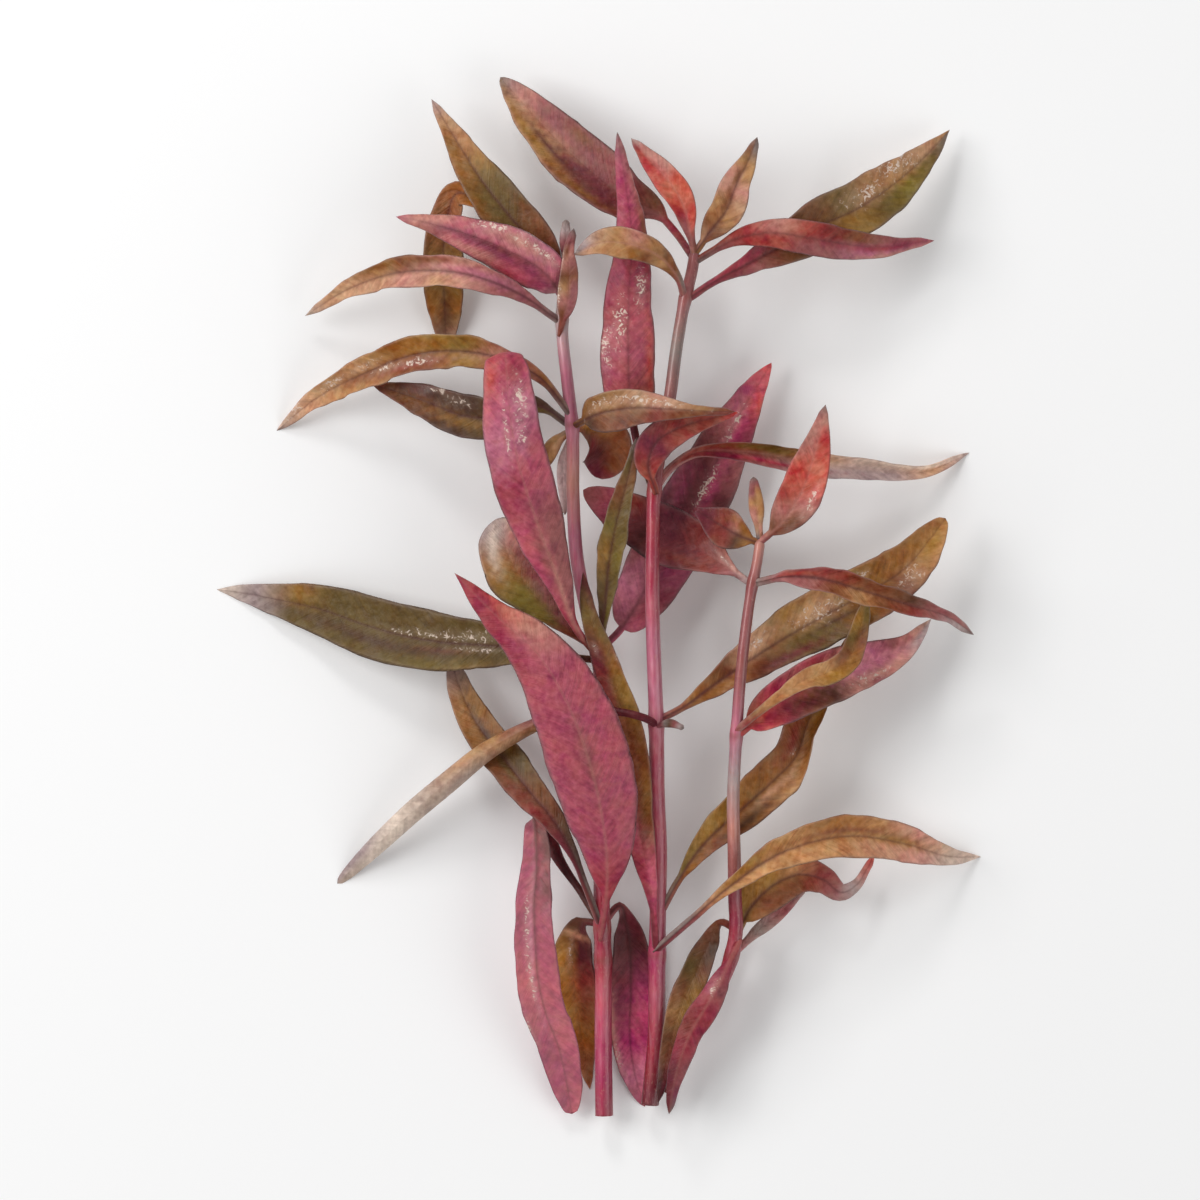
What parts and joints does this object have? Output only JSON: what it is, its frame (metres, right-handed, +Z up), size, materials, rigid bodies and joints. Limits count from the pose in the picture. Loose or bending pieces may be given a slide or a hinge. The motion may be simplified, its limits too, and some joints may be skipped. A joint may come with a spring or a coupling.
{
  "type": "alternanthera bunch",
  "caption": "Cut bunch of a red aquarium plant lying down: slim stems meet at the cut ends and carry long lance-shaped leaves in pairs at the nodes.",
  "frame": {"origin": "middle of the bunch's bounding box on the ground plane", "axes": "+Y along the stems from the cut ends to the tips, +Z up from the ground, +X to the right of the stems"},
  "size_m": [0.1536, 0.2084, 0.0315],
  "materials": {
    "stem": "smooth wet stem, crimson pink low and grey pink higher",
    "leaf_pink": "wet glossy leaf, rose to crimson",
    "leaf_red": "wet glossy leaf, coral to brick red",
    "leaf_maroon": "wet glossy leaf, dark maroon with purple pink sheen",
    "leaf_orange": "wet glossy leaf, orange brown to golden tan",
    "leaf_olive": "wet glossy leaf, olive brown",
    "leaf_pale": "leaf underside, pale tan pink"
  },
  "bodies": {
    "root": {"bud_middle": "leaf_orange", "bud_right": "leaf_red", "leaf_left_1_back": "leaf_orange", "leaf_left_1_droop": "leaf_pink", "leaf_left_1_front": "leaf_pink", "leaf_left_1_right": "leaf_maroon", "leaf_left_1_up": "leaf_orange", "leaf_left_2_front": "leaf_pink", "leaf_left_2_left": "leaf_olive", "leaf_left_2_right": "leaf_maroon", "leaf_left_2_round": "leaf_olive", "leaf_left_2_up": "leaf_olive", "leaf_left_3_back": "leaf_maroon", "leaf_left_3_left": "leaf_orange", "leaf_left_3_lower": "leaf_olive", "leaf_left_3_right": "leaf_orange", "leaf_left_3_small": "leaf_orange", "leaf_left_3_thin": "leaf_maroon", "leaf_left_4_lower": "leaf_orange", "leaf_left_4_upper": "leaf_pink", "leaf_left_5_back": "leaf_orange", "leaf_left_5_left": "leaf_olive", "leaf_left_bud_short": "leaf_red", "leaf_left_bud_tall": "leaf_red", "leaf_middle_1_left": "leaf_olive", "leaf_middle_1_right": "leaf_orange", "leaf_middle_1_up": "leaf_orange", "leaf_middle_2_left": "leaf_pale", "leaf_middle_2_right": "leaf_orange", "leaf_middle_3_right": "leaf_pale", "leaf_middle_3_tall": "leaf_pink", "leaf_middle_3_up": "leaf_red", "leaf_middle_4_left": "leaf_orange", "leaf_middle_4_right": "leaf_olive", "leaf_middle_5_left": "leaf_olive", "leaf_middle_5_red": "leaf_red", "leaf_middle_5_right": "leaf_red", "leaf_middle_5_up": "leaf_orange", "leaf_right_1_front": "leaf_pink", "leaf_right_1_left": "leaf_olive", "leaf_right_1_low": "leaf_pale", "leaf_right_1_right": "leaf_orange", "leaf_right_2_over": "leaf_olive", "leaf_right_2_right": "leaf_red", "leaf_right_3_left": "leaf_maroon", "leaf_right_3_right": "leaf_red", "leaf_right_4_left": "leaf_orange", "leaf_right_4_right": "leaf_red", "stem_left": "stem", "stem_middle": "stem", "stem_right": "stem"}
  },
  "joints": []
}
